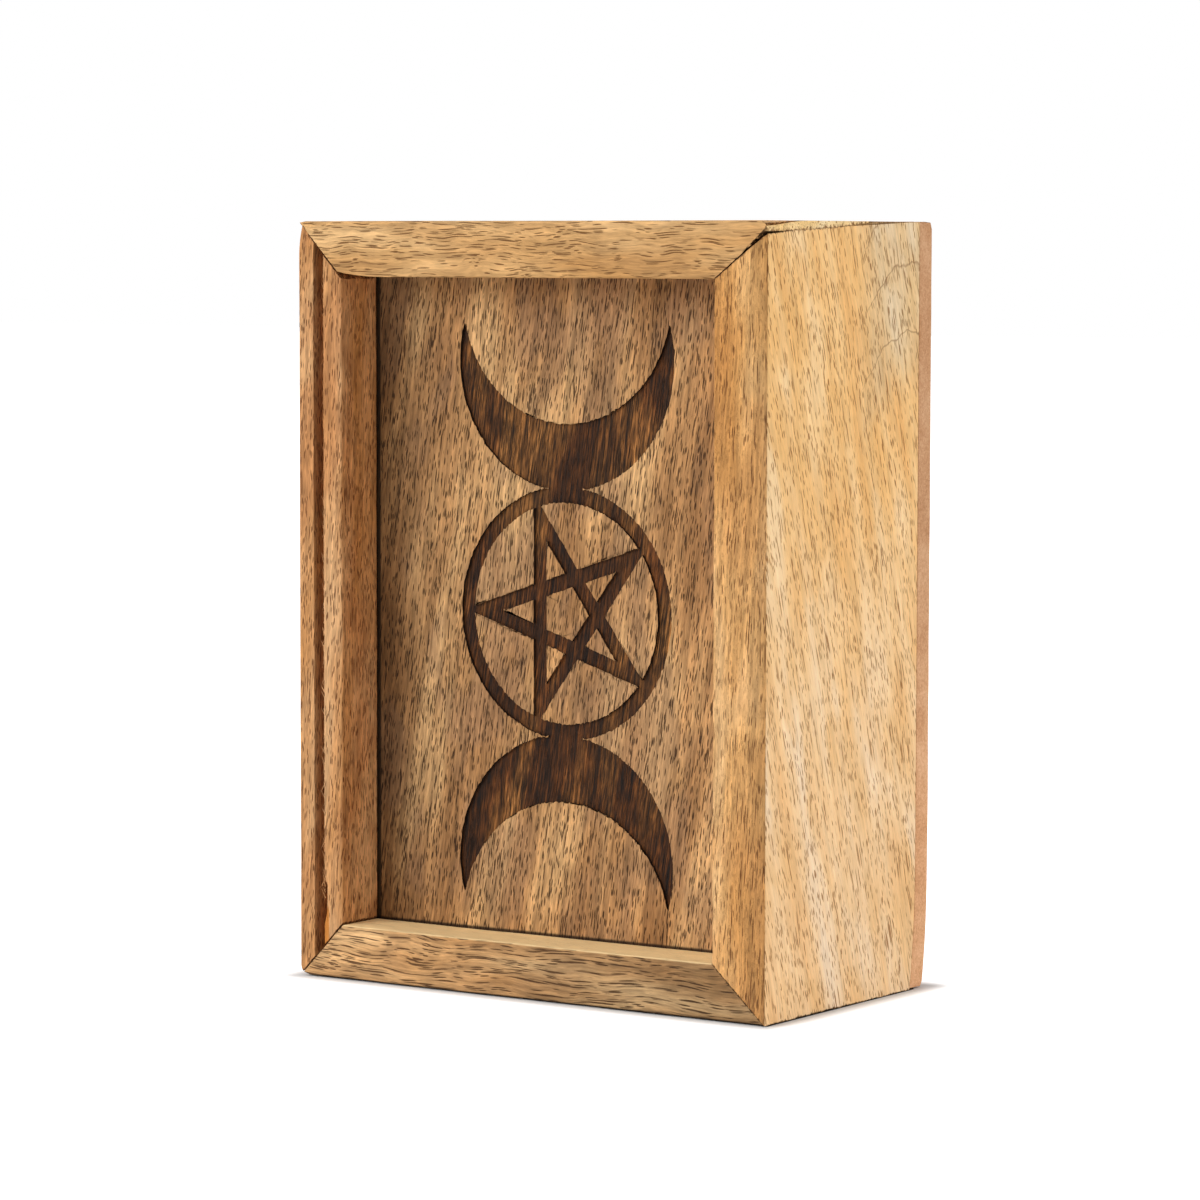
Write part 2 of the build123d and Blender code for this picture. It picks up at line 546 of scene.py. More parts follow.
def add(tree, kind, inputs=None, stops=(), **settings):
    """Add a node with its settings, colour stops and inputs.

    An input is named, or numbered where names repeat. A node given for it is linked by its first output in use.
    """
    node = tree.nodes.new(kind)
    for name, value in settings.items():
        setattr(node, name, value)
    if stops:
        band = node.color_ramp.elements
        while len(band) < len(stops):
            band.new(1.0)
        for element, (place, colour) in zip(band, stops):
            element.position = place
            element.color = linear(colour)
    for key, value in (inputs or {}).items():
        named = [s for s in node.inputs if s.enabled and s.name == key]
        socket = named[0] if named else node.inputs[key]
        if isinstance(value, bpy.types.Node):
            value = next(s for s in value.outputs if s.enabled)
        if isinstance(value, bpy.types.NodeSocket):
            tree.links.new(value, socket)
        else:
            socket.default_value = value
    return node


# Torn fibres

def fibre_tree():
    """Splinters along a torn edge: thin pointed slivers at random lengths and leans."""
    tree = bpy.data.node_groups.new("torn_fibres", "GeometryNodeTree")
    kinds = {
        "Edge": "NodeSocketGeometry", "Spacing": "NodeSocketFloat", "Length": "NodeSocketFloat",
        "Thickness": "NodeSocketFloat", "Lean Low": "NodeSocketVector", "Lean High": "NodeSocketVector",
        "Seed": "NodeSocketInt", "Material": "NodeSocketMaterial",
    }
    for name, kind in kinds.items():
        tree.interface.new_socket(name=name, in_out="INPUT", socket_type=kind)
    tree.interface.new_socket(name="Fibres", in_out="OUTPUT", socket_type="NodeSocketGeometry")
    given = add(tree, "NodeGroupInput").outputs
    edge = add(tree, "GeometryNodeMeshToCurve", {"Mesh": given["Edge"]})
    roots = add(tree, "GeometryNodeCurveToPoints", {"Curve": edge, "Length": given["Spacing"]}, mode="LENGTH")
    sliver = add(tree, "GeometryNodeMeshCone", {
        "Vertices": 4, "Radius Top": 0.0, "Radius Bottom": given["Thickness"], "Depth": given["Length"],
    })
    leans = {"Min": given["Lean Low"], "Max": given["Lean High"], "Seed": given["Seed"]}
    lean = add(tree, "FunctionNodeRandomValue", leans, data_type="FLOAT_VECTOR")
    size = add(tree, "FunctionNodeRandomValue", {"Min": 0.25, "Max": 1.0, "Seed": given["Seed"]}, data_type="FLOAT")
    stood = add(tree, "GeometryNodeInstanceOnPoints", {
        "Points": roots, "Instance": sliver, "Rotation": lean, "Scale": size,
    })
    plain = add(tree, "GeometryNodeRealizeInstances", {"Geometry": stood})
    dressed = add(tree, "GeometryNodeSetMaterial", {"Geometry": plain, "Material": given["Material"]})
    add(tree, "NodeGroupOutput", {"Fibres": dressed})
    return tree


def torn_fibres(name, tree, edge, sizes, fresh):
    """Plain mesh of the splinters along an edge; fresh is their distance from a soiled end, in mm."""
    line = bpy.data.meshes.new(name)
    line.from_pydata(edge, [(i, i + 1) for i in range(len(edge) - 1)], [])
    piece = bpy.data.objects.new(name, line)
    bpy.context.scene.collection.objects.link(piece)
    modifier = piece.modifiers.new("fibres", "NODES")
    modifier.node_group = tree
    for socket in tree.interface.items_tree:
        if socket.in_out == "INPUT" and socket.name in sizes:
            modifier[socket.identifier] = sizes[socket.name]
    evaluated = piece.evaluated_get(bpy.context.evaluated_depsgraph_get())
    mesh = bpy.data.meshes.new_from_object(evaluated)
    piece.modifiers.remove(modifier)
    piece.data = mesh
    mesh.name = name
    mesh.attributes.new("from_cut", "FLOAT", "POINT").data.foreach_set("value", [fresh] * len(mesh.vertices))
    return piece


def tear_kerf(tree, material):
    """Pale splinters off the kerf's inner lip, up the grain and down it."""
    thickness = 0.13 * MM
    x = LEFT + KERF_INSET + KERF_WIDTH + 0.25 * MM
    y = FRONT + thickness + 0.01 * MM
    lip = [(x, y, FLOOR + 16 * MM), (x, y, TOP - 8 * MM)]
    fresh = 9.0
    for name, spacing, low, high, seed in (
        ("lid_bar_fibres_up", 1.1, (0, -35, 0), (0, -5, 0), 3),
        ("lid_bar_fibres_down", 1.9, (0, 185, 0), (0, 215, 0), 8),
    ):
        fibres = torn_fibres(name, tree, lip, {
            "Spacing": spacing * MM, "Length": 2.4 * MM, "Thickness": thickness, "Seed": seed, "Material": material,
            "Lean Low": [radians(a) for a in low], "Lean High": [radians(a) for a in high],
        }, fresh)
        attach(fibres, "lid")


def tear_mitre(tree, material):
    """Brown splinters off the top wall's blunt end, over the right wall's short top."""
    inset, lift = 0.4 * MM, 0.2 * MM
    steps = [FRONT + (1 + k) * MM for k in range(26)]
    edge = [(RIGHT - inset, y, TOP - cut_short(y) + lift) for y in steps]
    fibres = torn_fibres("top_wall_fibres", tree, edge, {
        "Spacing": 0.45 * MM, "Length": 0.9 * MM, "Thickness": 0.16 * MM, "Seed": 5, "Material": material,
        "Lean Low": (radians(130), 0, 0), "Lean High": (radians(230), radians(8), 0),
    }, 0.0)
    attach(fibres, "box")


# Materials

def new_material(name):
    """New material with its empty tree, and the piece's own coordinates and normal."""
    material = bpy.data.materials.new(name)
    material.use_nodes = True
    tree = material.node_tree
    tree.nodes.clear()
    own = add(tree, "ShaderNodeTexCoord").outputs
    return material, tree, own["Object"], own["Normal"]


def grain_flow(tree, place, turn, seed, sway, waves):
    """Coordinates in mm with Z along the grain, which sways in waves of a size across and along it."""
    settings = {"Vector": place, "Rotation": turn, "Scale": TO_MM, "Location": (seed, 2 * seed, 0)}
    straight = add(tree, "ShaderNodeMapping", settings)
    size = (1 / waves[0], 1 / waves[0], 1 / waves[1])
    waved = add(tree, "ShaderNodeVectorMath", {0: straight, 1: size}, operation="MULTIPLY")
    drift = add(tree, "ShaderNodeTexNoise", {"Vector": waved, "Scale": 1.0, "Detail": 1.0}).outputs["Color"]
    return add(tree, "ShaderNodeVectorMath", {0: drift, 1: (sway, sway, 0), 2: straight}, operation="MULTIPLY_ADD")


def mango(tree, flow, tones, patch, dark, streak, fibre, vessels):
    """Colour and relief of sawn mango, in coordinates that follow its grain.

    tones are the bands' colours, patch a colour and its share, dark the open vessels' colour, streak and
    fibre the strength of the long lines and of the fine fibre. Each kind of vessel has its width, length and
    share. Sizes are in mm; real fibre is finer than a pixel, and is drawn about three times as coarse.
    """
    sizes = {
        "bands": (8, 45), "patches": (9, 20), "streaks": (0.7, 26), "mottle": (2.2, 5), "fibre": (0.3, 3),
        "crowd": (4, 14),
    }
    figure = {}
    for name, (across, along) in sizes.items():
        size = (1 / across, 1 / across, 1 / along)
        scaled = add(tree, "ShaderNodeVectorMath", {0: flow, 1: size}, operation="MULTIPLY")
        figure[name] = add(tree, "ShaderNodeTexNoise", {"Vector": scaled, "Scale": 1.0, "Detail": 2.0})

    bands = [(0.34, tones[0]), (0.5, tones[1]), (0.66, tones[2])]
    colour = add(tree, "ShaderNodeValToRGB", {"Fac": figure["bands"]}, bands)
    laid = {"Value": figure["patches"], "From Min": 0.46, "From Max": 0.62, "To Max": patch[1]}
    spread = add(tree, "ShaderNodeMapRange", laid, interpolation_type="SMOOTHSTEP")
    colour = add(tree, "ShaderNodeMix", {"Factor": spread, "A": colour, "B": linear(patch[0])}, data_type="RGBA")
    for name, strength in (("streaks", streak), ("mottle", 0.6 * fibre), ("fibre", fibre)):
        ends = {"To Min": 1 + strength, "To Max": 1 - strength}
        shade = add(tree, "ShaderNodeMapRange", {"Value": figure[name], "From Min": 0.3, "From Max": 0.7, **ends})
        colour = add(tree, "ShaderNodeVectorMath", {0: colour, "Scale": shade}, operation="SCALE")

    # An open vessel fills this share of its Voronoi cell, and the fibre tears its outline
    reach = 0.36
    ragged = 0.4
    pitted = 0.0
    for width, length, share in vessels:
        cell = (2 * reach / width, 2 * reach / width, 2 * reach / length)
        cells = add(tree, "ShaderNodeVectorMath", {0: flow, 1: cell}, operation="MULTIPLY")
        vessel = add(tree, "ShaderNodeTexVoronoi", {"Vector": cells, "Scale": 1.0, "Randomness": 1.0}).outputs
        outline = {0: figure["fibre"], 1: ragged, 2: vessel["Distance"]}
        torn = add(tree, "ShaderNodeMath", outline, operation="MULTIPLY_ADD")
        rim = ragged / 2 + reach
        oval = {"Value": torn, "From Min": rim - 0.4 * reach, "From Max": rim, "To Min": 1.0, "To Max": 0.0}
        opened = add(tree, "ShaderNodeMapRange", oval, interpolation_type="SMOOTHSTEP")
        chance = add(tree, "ShaderNodeSeparateColor", {"Color": vessel["Color"]}).outputs["Red"]
        crowded = add(tree, "ShaderNodeMath", {0: chance, 1: figure["crowd"]}, operation="ADD")
        kept = add(tree, "ShaderNodeMapRange", {"Value": crowded, "From Min": 1.45 - share, "From Max": 1.6 - share})
        pits = add(tree, "ShaderNodeMath", {0: opened, 1: kept}, operation="MULTIPLY")
        pitted = add(tree, "ShaderNodeMath", {0: pits, 1: pitted}, operation="MAXIMUM")
    shown = add(tree, "ShaderNodeMath", {0: pitted, 1: 0.9}, operation="MULTIPLY")
    colour = add(tree, "ShaderNodeMix", {"Factor": shown, "A": colour, "B": linear(dark)}, data_type="RGBA")
    relief = add(tree, "ShaderNodeMath", {0: pitted, 1: -1.0, 2: figure["fibre"]}, operation="MULTIPLY_ADD")
    return colour, relief


def soiled(tree, place, colour, dark, reach):
    """Dirt and torn dark fibre along the sawn ends, fading over a reach in mm."""
    speck = 0.7692 * MM
    size = add(tree, "ShaderNodeVectorMath", {0: place, 1: (1 / speck,) * 3}, operation="MULTIPLY")
    specks = add(tree, "ShaderNodeTexNoise", {"Vector": size, "Scale": 1.0, "Detail": 2.0})
    away = add(tree, "ShaderNodeAttribute", attribute_name="from_cut").outputs["Fac"]
    near = add(tree, "ShaderNodeMath", {0: specks, 1: -3.2 * reach, 2: away}, operation="MULTIPLY_ADD")
    band = {"Value": near, "From Min": -1.9 * reach, "From Max": -1.1 * reach, "To Min": 0.85, "To Max": 0.0}
    dirt_and_painted_shade = add(tree, "ShaderNodeMapRange", band, interpolation_type="SMOOTHSTEP")
    return add(tree, "ShaderNodeMix", {"Factor": dirt_and_painted_shade, "A": colour, "B": linear(dark)}, data_type="RGBA")


def sanded(tree, colour, relief, roughness):
    """Dull sanded surface with open vessels."""
    bump = add(tree, "ShaderNodeBump", {"Height": relief, "Strength": 0.8, "Distance": 0.2 * MM})
    shader = add(tree, "ShaderNodeBsdfPrincipled", {
        "Base Color": colour, "Roughness": roughness, "Specular IOR Level": 0.15, "Normal": bump,
    })
    add(tree, "ShaderNodeOutputMaterial", {"Surface": shader})


def top_wall_mango():
    """Mango heartwood, plain sawn and sanded: golden brown with wavy dark vessels."""
    material, tree, place, _ = new_material("mango_wood_top_wall")
    flow = grain_flow(tree, place, (0, radians(90), 0), 11.0, 2.0, (6, 10))
    colour, relief = mango(
        tree, flow, ("#c29057", "#d4a56c", "#e2b780"), ("#be905c", 0.4), "#734a24", 0.2, 0.14,
        [(0.22, 3.6, 0.6), (0.25, 9.0, 0.55)],
    )
    colour = soiled(tree, place, colour, "#5a3517", 0.28)
    sanded(tree, colour, relief, 0.6)
    return material


def end_mango():
    """Sawn end of mango: cream, rough, with brown torn teeth along its lower edge."""
    material, tree, place, _ = new_material("mango_wood_sawn_end")
    flow = grain_flow(tree, place, (0, radians(90), 0), 13.0, 1.0, (4, 10))
    colour, relief = mango(
        tree, flow, ("#f4c780", "#fcd79a", "#ffe4b4"), ("#f2c987", 0.4), "#a8702f", 0.1, 0.2,
        [(0.4, 2.0, 0.4)],
    )
    colour = soiled(tree, place, colour, "#7d4a1b", 1.2)
    sanded(tree, colour, relief, 0.7)
    return material


def bottom_wall_mango():
    """Mango heartwood with bold wavy vessels, browner to the right; its up-facing inner face is painted paler as
    painted light from above, and its foot is painted near-black as painted contact shadow.
    """
    material, tree, place, normal = new_material("mango_wood_bottom_wall")
    flow = grain_flow(tree, place, (0, radians(90), 0), 29.0, 3.0, (8, 16))
    colour, relief = mango(
        tree, flow, ("#b98a58", "#d3a46f", "#e6bd88"), ("#ab845a", 0.5), "#4f3119", 0.3, 0.18,
        [(0.25, 4.5, 0.65), (0.36, 13.0, 0.7)],
    )
    spot = add(tree, "ShaderNodeSeparateXYZ", {"Vector": place}).outputs
    span = {"Value": spot["X"], "From Min": -50 * MM, "From Max": 40 * MM, "To Min": 1.28, "To Max": 0.58}
    shade = add(tree, "ShaderNodeMapRange", span)
    colour = add(tree, "ShaderNodeVectorMath", {0: colour, "Scale": shade}, operation="SCALE")
    # Painted light from above: faces that look up are mixed towards pale straw.
    upward = add(tree, "ShaderNodeSeparateXYZ", {"Vector": normal}).outputs["Z"]
    painted_light_from_above = add(tree, "ShaderNodeMapRange", {"Value": upward, "From Min": 0.3, "From Max": 0.7, "To Max": 0.75})
    colour = add(tree, "ShaderNodeMix", {"Factor": painted_light_from_above, "A": colour, "B": linear("#ffe1a8")}, data_type="RGBA")
    colour = soiled(tree, place, colour, "#4a2d15", 0.22)
    # Painted contact shadow: near-black along the lowest half millimetre, where the wall meets the floor.
    low = {"Value": spot["Z"], "From Min": 0.25 * MM, "From Max": 0.65 * MM, "To Min": 0.95, "To Max": 0.0}
    foot = add(tree, "ShaderNodeMapRange", low, interpolation_type="SMOOTHSTEP")
    colour = add(tree, "ShaderNodeMix", {"Factor": foot, "A": colour, "B": linear("#140b05")}, data_type="RGBA")
    sanded(tree, colour, relief, 0.6)
    return material


def growth_lines(tree, place, colour):
    """Two thin growth lines that arch over the back of a wall's upper end, in greyer wood; sizes in mm."""
    crown = (BASE_FRONT - 3 * MM) / MM
    bend = 0.034
    bump, bump_height = 4.545, 4.0
    first_line, half_spacing, line_width = 144.0, 6.5, 0.4
    spot = add(tree, "ShaderNodeSeparateXYZ", {"Vector": place}).outputs
    aside = add(tree, "ShaderNodeMath", {0: spot["Y"], 1: -1 / MM, 2: crown}, operation="MULTIPLY_ADD")
    fall = add(tree, "ShaderNodeMath", {0: aside, 1: aside}, operation="MULTIPLY")
    height = add(tree, "ShaderNodeMath", {0: spot["Z"], 1: 1 / MM}, operation="MULTIPLY")
    arch = add(tree, "ShaderNodeMath", {0: fall, 1: bend, 2: height}, operation="MULTIPLY_ADD")
    size = add(tree, "ShaderNodeVectorMath", {0: place, 1: (1 / (bump * MM),) * 3}, operation="MULTIPLY")
    ragged = add(tree, "ShaderNodeTexNoise", {"Vector": size, "Scale": 1.0, "Detail": 2.0})
    level = add(tree, "ShaderNodeMath", {0: ragged, 1: bump_height, 2: arch}, operation="MULTIPLY_ADD")
    above = add(tree, "ShaderNodeMath", {0: level, 1: first_line}, operation="SUBTRACT")
    folded = add(tree, "ShaderNodeMath", {0: above, 1: half_spacing}, operation="PINGPONG")
    thin = {"Value": folded, "From Min": 0.0, "From Max": line_width, "To Min": 0.6, "To Max": 0.0}
    line = add(tree, "ShaderNodeMapRange", thin, interpolation_type="SMOOTHSTEP")
    near = {"Value": aside, "From Min": 12.0, "From Max": 22.0, "To Min": 1.0, "To Max": 0.0}
    rear = add(tree, "ShaderNodeMapRange", near, interpolation_type="SMOOTHSTEP")
    upper = {"Value": level, "From Min": 116.0, "From Max": 129.0}
    high = add(tree, "ShaderNodeMapRange", upper, interpolation_type="SMOOTHSTEP")
    greyed = add(tree, "ShaderNodeMath", {0: rear, 1: high}, operation="MULTIPLY")
    greyer = {"Factor": greyed, "A": colour, "B": (0.87, 1.0, 1.3, 1.0)}
    colour = add(tree, "ShaderNodeMix", greyer, data_type="RGBA", blend_type="MULTIPLY")
    drawn = add(tree, "ShaderNodeMath", {0: line, 1: greyed}, operation="MULTIPLY")
    return add(tree, "ShaderNodeMix", {"Factor": drawn, "A": colour, "B": linear("#94693f")}, data_type="RGBA")


def long_wall_mango():
    """Mango sapwood: straw yellow with short brown vessels on the broad face, warm brown on the sawn edges."""
    material, tree, place, normal = new_material("mango_wood_long_walls")
    leaning = grain_flow(tree, place, (radians(-16), 0, 0), 23.0, 1.6, (9, 20))
    pale, relief = mango(
        tree, leaning, ("#f2b972", "#fac986", "#ffd8a0"), ("#f2b96e", 0.5), "#a1662b", 0.1, 0.07,
        [(0.28, 1.9, 0.75), (0.30, 6.0, 0.35)],
    )
    height = add(tree, "ShaderNodeSeparateXYZ", {"Vector": place}).outputs["Z"]
    foot = {"Value": height, "From Min": 20 * MM, "From Max": 120 * MM, "To Min": 1.0, "To Max": 0.0}
    bleached = add(tree, "ShaderNodeMapRange", foot, interpolation_type="SMOOTHSTEP")
    whiter = {"Factor": bleached, "A": pale, "B": (1.02, 1.13, 1.5, 1.0)}
    pale = add(tree, "ShaderNodeMix", whiter, data_type="RGBA", blend_type="MULTIPLY")
    pale = growth_lines(tree, place, pale)
    upright = grain_flow(tree, place, (0, radians(-3), 0), 31.0, 2.0, (8, 20))
    warm, _ = mango(
        tree, upright, ("#ca9255", "#dfaa6c", "#ecbe86"), ("#d0965a", 0.5), "#653a17", 0.26, 0.16,
        [(0.25, 2.2, 0.7), (0.30, 7.0, 0.4)],
    )
    across = add(tree, "ShaderNodeSeparateXYZ", {"Vector": place}).outputs["X"]
    span = {"Value": across, "From Min": RIGHT - 6 * MM, "From Max": RIGHT - 1.5 * MM, "To Min": 1.04, "To Max": 0.82}
    edge = add(tree, "ShaderNodeMapRange", span, interpolation_type="SMOOTHSTEP")
    warm = add(tree, "ShaderNodeVectorMath", {0: warm, "Scale": edge}, operation="SCALE")
    span = {"Value": height, "From Min": 90 * MM, "From Max": 130 * MM}
    upper = add(tree, "ShaderNodeMapRange", span, interpolation_type="SMOOTHSTEP")
    browner = {"Factor": upper, "A": warm, "B": (0.88, 0.81, 0.68, 1.0)}
    warm = add(tree, "ShaderNodeMix", browner, data_type="RGBA", blend_type="MULTIPLY")
    sideways = add(tree, "ShaderNodeSeparateXYZ", {"Vector": normal}).outputs["X"]
    facing = add(tree, "ShaderNodeMath", {0: sideways}, operation="ABSOLUTE")
    broad = add(tree, "ShaderNodeMapRange", {"Value": facing, "From Min": 0.55, "From Max": 0.85})
    colour = add(tree, "ShaderNodeMix", {"Factor": broad, "A": warm, "B": pale}, data_type="RGBA")
    colour = soiled(tree, place, colour, "#5e3818", 0.5)
    sanded(tree, colour, relief, 0.6)
    return material


def bar_mango():
    """Mango, quarter sawn: even warm brown with fine short vessels; fresh orange wood shows where it split. Faces
    that face right are painted lighter on the bar's inner face and darker in the kerf, as painted light and shade.
    """
    material, tree, place, normal = new_material("mango_wood_lid_bar")
    flow = grain_flow(tree, place, (radians(2), radians(-4), 0), 37.0, 1.6, (7, 16))
    colour, relief = mango(
        tree, flow, ("#b9814a", "#cb9460", "#daa977"), ("#b77c4c", 0.6), "#673a1a", 0.24, 0.22,
        [(0.24, 1.8, 0.75), (0.26, 4.5, 0.35)],
    )
    spot = add(tree, "ShaderNodeSeparateXYZ", {"Vector": place}).outputs
    lip = LEFT + KERF_INSET + KERF_WIDTH
    # Painted light and shade on faces that face right: the bar's inner face is scaled lighter, and the kerf's wall
    # darker.
    sideways = add(tree, "ShaderNodeSeparateXYZ", {"Vector": normal}).outputs["X"]
    facing = add(tree, "ShaderNodeMapRange", {"Value": sideways, "From Min": 0.4, "From Max": 0.8})
    span = {"Value": spot["X"], "From Min": lip + 1 * MM, "From Max": lip + 2 * MM, "To Min": 0.8, "To Max": 1.14}
    painted_face_light = add(tree, "ShaderNodeMix", {"Factor": facing, "A": 1.0, "B": add(tree, "ShaderNodeMapRange", span)})
    colour = add(tree, "ShaderNodeVectorMath", {0: colour, "Scale": painted_face_light}, operation="SCALE")
    fresh = 0.9
    for axis, start, stop, first, last in (
        ("X", lip - 0.2 * MM, lip, 0.0, 1.0),
        ("X", lip + 1.1 * MM, lip + 1.4 * MM, 1.0, 0.0),
        ("Z", 13.5 * MM, 14.5 * MM, 1.0, 0.0),
    ):
        span = {"Value": spot[axis], "From Min": start, "From Max": stop, "To Min": first, "To Max": last}
        within = add(tree, "ShaderNodeMapRange", span)
        fresh = add(tree, "ShaderNodeMath", {0: within, 1: fresh}, operation="MULTIPLY")
    colour = add(tree, "ShaderNodeMix", {"Factor": fresh, "A": colour, "B": linear("#cd8032")}, data_type="RGBA")
    colour = soiled(tree, place, colour, "#5d3c22", 0.25)
    sanded(tree, colour, relief, 0.6)
    return material


def panel_mango():
    """Mango heartwood: brown, thick with dark vessels; the emblem is burnt streaky dark. Painted shadow darkens the
    panel towards the bar, and a painted shade line runs along its edges at the bar and the bottom wall.
    """
    material, tree, place, normal = new_material("mango_wood_burnt_panel")
    flow = grain_flow(tree, place, (0, radians(-8), 0), 51.0, 1.4, (8, 24))
    colour, relief = mango(
        tree, flow, ("#a3764a", "#bf8f5d", "#d5a873"), ("#977354", 0.5), "#2b1709", 0.32, 0.24,
        [(0.26, 1.8, 0.95), (0.28, 5.0, 0.55)],
    )
    char, _ = mango(
        tree, flow, ("#321a07", "#543015", "#84582e"), ("#3b200b", 0.6), "#080300", 0.8, 0.8,
        [(0.26, 4.0, 0.95), (0.28, 10.0, 0.75)],
    )
    spot = add(tree, "ShaderNodeSeparateXYZ", {"Vector": place}).outputs
    # Painted shadow: the panel is scaled darker towards the bar at its left, where the bar's shadow falls.
    span = {"Value": spot["X"], "From Min": -45 * MM, "From Max": -20 * MM, "To Min": 0.56, "To Max": 1.0}
    shade = add(tree, "ShaderNodeMapRange", span, interpolation_type="SMOOTHSTEP")
    colour = add(tree, "ShaderNodeVectorMath", {0: colour, "Scale": shade}, operation="SCALE")
    burnt = add(tree, "ShaderNodeAttribute", attribute_name="burnt").outputs["Fac"]
    scorched = {"Value": burnt, "From Min": 0.02, "From Max": 0.25}
    depth = add(tree, "ShaderNodeMapRange", scorched, interpolation_type="SMOOTHSTEP")
    colour = add(tree, "ShaderNodeMix", {"Factor": depth, "A": colour, "B": char}, data_type="RGBA")
    outward = add(tree, "ShaderNodeSeparateXYZ", {"Vector": normal}).outputs["Y"]
    facing = add(tree, "ShaderNodeMath", {0: outward}, operation="ABSOLUTE")
    side = {"Value": facing, "From Min": 0.4, "From Max": 0.8, "To Min": 1.0, "To Max": 0.0}
    wall = add(tree, "ShaderNodeMath", {0: depth, 1: add(tree, "ShaderNodeMapRange", side)}, operation="MULTIPLY")
    colour = add(tree, "ShaderNodeMix", {"Factor": wall, "A": colour, "B": linear("#1a0d06")}, data_type="RGBA")
    # Painted shade: a near-black band along the panel's edges where it meets the bar and the bottom wall.
    shade_full, shade_gone = 0.1 * MM, 0.6 * MM
    for axis, edge in (("X", LEFT + BAR), ("Z", FLOOR + END_WALL)):
        span = {"Value": spot[axis], "From Min": edge + shade_full, "From Max": edge + shade_gone, "To Min": 0.9, "To Max": 0.0}
        dirt_and_painted_shade = add(tree, "ShaderNodeMapRange", span, interpolation_type="SMOOTHSTEP")
        colour = add(tree, "ShaderNodeMix", {"Factor": dirt_and_painted_shade, "A": colour, "B": linear("#160b04")}, data_type="RGBA")
    sanded(tree, colour, relief, 0.62)
    return material


def raw_fibreboard():
    """Pressed fibreboard, sawn and left bare: smooth, warm tan, with a fine fleck; it is painted lighter towards the
    foot as painted bounce light from the white floor.
    """
    fleck_size, cloud_size = 0.4545, 8.333
    material, tree, place, _ = new_material("raw_fibreboard")
    size = add(tree, "ShaderNodeVectorMath", {0: place, 1: TO_MM}, operation="MULTIPLY")
    fine = {"Vector": size, "Scale": 1 / fleck_size, "Detail": 4.0, "Roughness": 0.7}
    fleck = add(tree, "ShaderNodeTexNoise", fine)
    cloud = add(tree, "ShaderNodeTexNoise", {"Vector": size, "Scale": 1 / cloud_size, "Detail": 2.0})
    part = add(tree, "ShaderNodeMath", {0: cloud, 1: 0.4}, operation="MULTIPLY")
    mixed = add(tree, "ShaderNodeMath", {0: fleck, 1: 0.6, 2: part}, operation="MULTIPLY_ADD")
    tans = [(0.38, "#ba855a"), (0.5, "#cd9a70"), (0.62, "#dcae85")]
    colour = add(tree, "ShaderNodeValToRGB", {"Fac": mixed}, tans)
    # Painted bounce light: the board is scaled lighter towards the floor.
    height = add(tree, "ShaderNodeSeparateXYZ", {"Vector": place}).outputs["Z"]
    foot = {"Value": height, "From Min": 10 * MM, "From Max": 100 * MM, "To Min": 1.3, "To Max": 1.0}
    painted_floor_bounce = add(tree, "ShaderNodeMapRange", foot, interpolation_type="SMOOTHSTEP")
    colour = add(tree, "ShaderNodeVectorMath", {0: colour, "Scale": painted_floor_bounce}, operation="SCALE")
    sanded(tree, colour, fleck, 0.7)
    return material


def wire_steel():
    """Drawn steel wire: grey, softly bright, a little uneven."""
    mark = 0.3333
    material, tree, place, _ = new_material("drawn_steel_wire")
    size = add(tree, "ShaderNodeVectorMath", {0: place, 1: TO_MM}, operation="MULTIPLY")
    spot = add(tree, "ShaderNodeTexNoise", {"Vector": size, "Scale": 1 / mark, "Detail": 3.0})
    colour = add(tree, "ShaderNodeValToRGB", {"Fac": spot}, [(0.3, "#7b766f"), (0.7, "#a7a29a")])
    span = {"Value": spot, "From Min": 0.2, "From Max": 0.8, "To Min": 0.3, "To Max": 0.5}
    dull = add(tree, "ShaderNodeMapRange", span)
    steel = add(tree, "ShaderNodeBsdfPrincipled", {"Base Color": colour, "Metallic": 1.0, "Roughness": dull})
    add(tree, "ShaderNodeOutputMaterial", {"Surface": steel})
    return material


# Stage

CAMERA_PLACE = Vector((0.5126, -0.7555, 0.1446))
CAMERA_TARGET = Vector((-0.0031, 0.0, 0.0755))
CAMERA_LENS = 139.4
CAMERA_ROLL = 0.107
LAMP_TARGET = Vector((0, 0, 0.07))
WORLD_LIGHT = 0.48


def make_camera():
    """Long lens at the photograph's place: to the right of the front, near the height of the top."""
    data = bpy.data.cameras.new("camera")
    data.lens = CAMERA_LENS
    data.sensor_width = 36.0
    camera = bpy.data.objects.new("camera", data)
    camera.location = CAMERA_PLACE
    camera.rotation_euler = (CAMERA_TARGET - CAMERA_PLACE).to_track_quat("-Z", "Y").to_euler()
    camera.rotation_euler.rotate_axis("Z", radians(CAMERA_ROLL))
    bpy.context.scene.collection.objects.link(camera)
    bpy.context.scene.camera = camera


def make_lamp(name, place, size, power):
    """Soft square lamp aimed at the middle of the box."""
    data = bpy.data.lights.new(name, "AREA")
    data.size = size
    data.energy = power
    lamp = bpy.data.objects.new(name, data)
    lamp.location = place
    lamp.rotation_euler = (LAMP_TARGET - Vector(place)).to_track_quat("-Z", "Y").to_euler()
    bpy.context.scene.collection.objects.link(lamp)


def seen_directly(tree):
    """1 for what the camera sees straight, mirrored or through glass."""
    path = add(tree, "ShaderNodeLightPath").outputs
    seen = add(tree, "ShaderNodeMath", {0: path["Is Camera Ray"], 1: path["Is Glossy Ray"]}, operation="MAXIMUM")
    return add(tree, "ShaderNodeMath", {0: seen, 1: path["Is Transmission Ray"]}, operation="MAXIMUM")


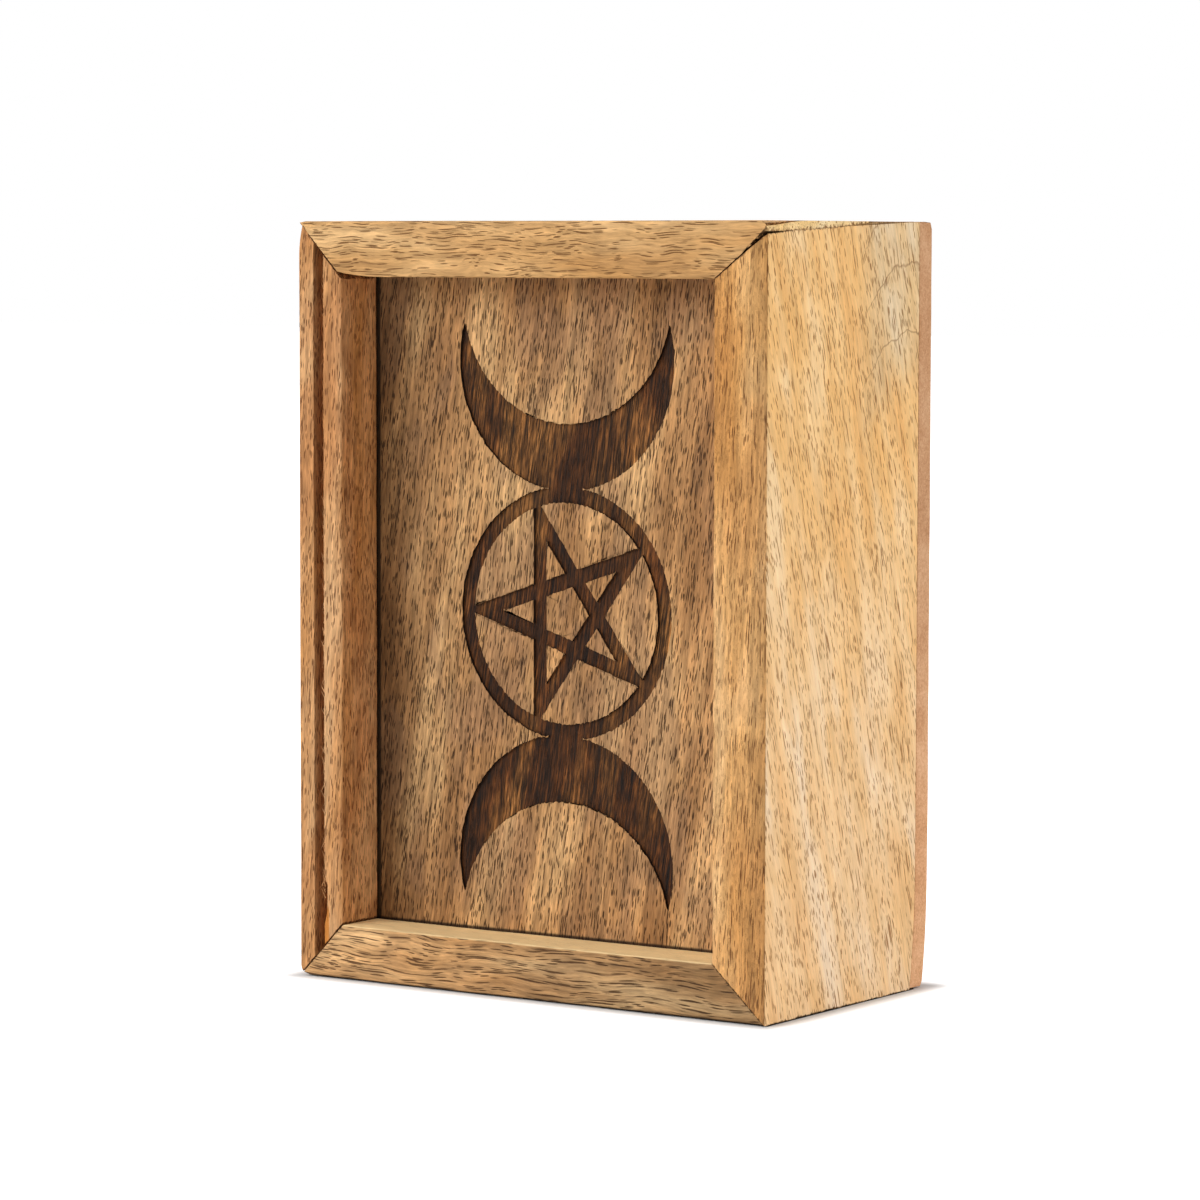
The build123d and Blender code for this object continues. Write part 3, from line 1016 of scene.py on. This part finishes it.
def make_world():
    """White surroundings, dimmer as light than they look."""
    world = bpy.data.worlds.new("white_room")
    world.use_nodes = True
    tree = world.node_tree
    tree.nodes.clear()
    levels = {0: seen_directly(tree), 1: 1 - WORLD_LIGHT, 2: WORLD_LIGHT}
    strength = add(tree, "ShaderNodeMath", levels, operation="MULTIPLY_ADD")
    light = add(tree, "ShaderNodeBackground", {"Color": (1, 1, 1, 1), "Strength": strength})
    add(tree, "ShaderNodeOutputWorld", {"Surface": light})
    bpy.context.scene.world = world


def make_floor():
    """White paper floor that keeps the lamps' shadow under the box, with its glow dimmed close round the box's foot
    as painted shade, and fades into the white room.
    """
    reach = 6.0
    shadow = 7 * MM
    mesh = bpy.data.meshes.new("floor")
    corners = [(-reach, -reach, 0), (reach, -reach, 0), (reach, reach, 0), (-reach, reach, 0)]
    mesh.from_pydata(corners, [], [(0, 1, 2, 3)])
    floor = bpy.data.objects.new("floor", mesh)
    bpy.context.scene.collection.objects.link(floor)
    material = bpy.data.materials.new("white_paper")
    material.use_nodes = True
    tree = material.node_tree
    tree.nodes.clear()
    place = add(tree, "ShaderNodeTexCoord").outputs["Object"]
    folded = add(tree, "ShaderNodeVectorMath", {0: place}, operation="ABSOLUTE")
    beyond = add(tree, "ShaderNodeVectorMath", {0: folded, 1: (RIGHT, BACK, 0)}, operation="SUBTRACT")
    outside = add(tree, "ShaderNodeVectorMath", {0: beyond, 1: (0, 0, 0)}, operation="MAXIMUM")
    distance = add(tree, "ShaderNodeVectorMath", {0: outside}, operation="LENGTH").outputs["Value"]
    # Painted shade: the glow the camera sees falls to nothing within 7 mm of the box's footprint, so the floor shows
    # darker there.
    span = {"Value": distance, "From Min": 0.0, "From Max": shadow, "To Min": 0.0, "To Max": 1.0}
    lift = add(tree, "ShaderNodeMapRange", span, interpolation_type="SMOOTHSTEP")
    strength = add(tree, "ShaderNodeMath", {0: seen_directly(tree), 1: lift}, operation="MULTIPLY")
    glow = add(tree, "ShaderNodeEmission", {"Strength": strength})
    paper = add(tree, "ShaderNodeBsdfDiffuse", {"Color": linear("#e6e6e6")})
    both = add(tree, "ShaderNodeAddShader", {0: paper, 1: glow})
    add(tree, "ShaderNodeOutputMaterial", {"Surface": both})
    mesh.materials.append(material)


top_wood = top_wall_mango()
end_wood = end_mango()
long_wood = long_wall_mango()
bar_wood = bar_mango()
dress(make_top_wall(), "box", "top_wall", top_wood)
make_sawn_end(end_wood)
dress(make_bottom_wall(), "box", "bottom_wall", bottom_wall_mango())
dress(make_right_wall(), "box", "right_wall", long_wood)
dress(make_left_wall(), "box", "left_wall", long_wood)
dress(make_base_board(), "box", "base_board", raw_fibreboard())
dress(make_lid_bar(), "lid", "lid_bar", bar_wood)
dress(make_lid_panel(), "lid", "lid_panel", panel_mango())
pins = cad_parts["base_pins"]
pins.data.materials.clear()
pins.data.materials.append(wire_steel())
fibres = fibre_tree()
tear_kerf(fibres, bar_wood)
tear_mitre(fibres, end_wood)

make_camera()
make_world()
make_floor()
make_lamp("side_lamp", (0.90, 0.45, 0.14), 0.5, 4.4)
make_lamp("key_lamp", (-0.8, -1.5, 0.85), 0.9, 16)
make_lamp("top_lamp", (-0.1, -0.3, 1.1), 0.6, 3)
bpy.context.scene.view_settings.view_transform = "Standard"
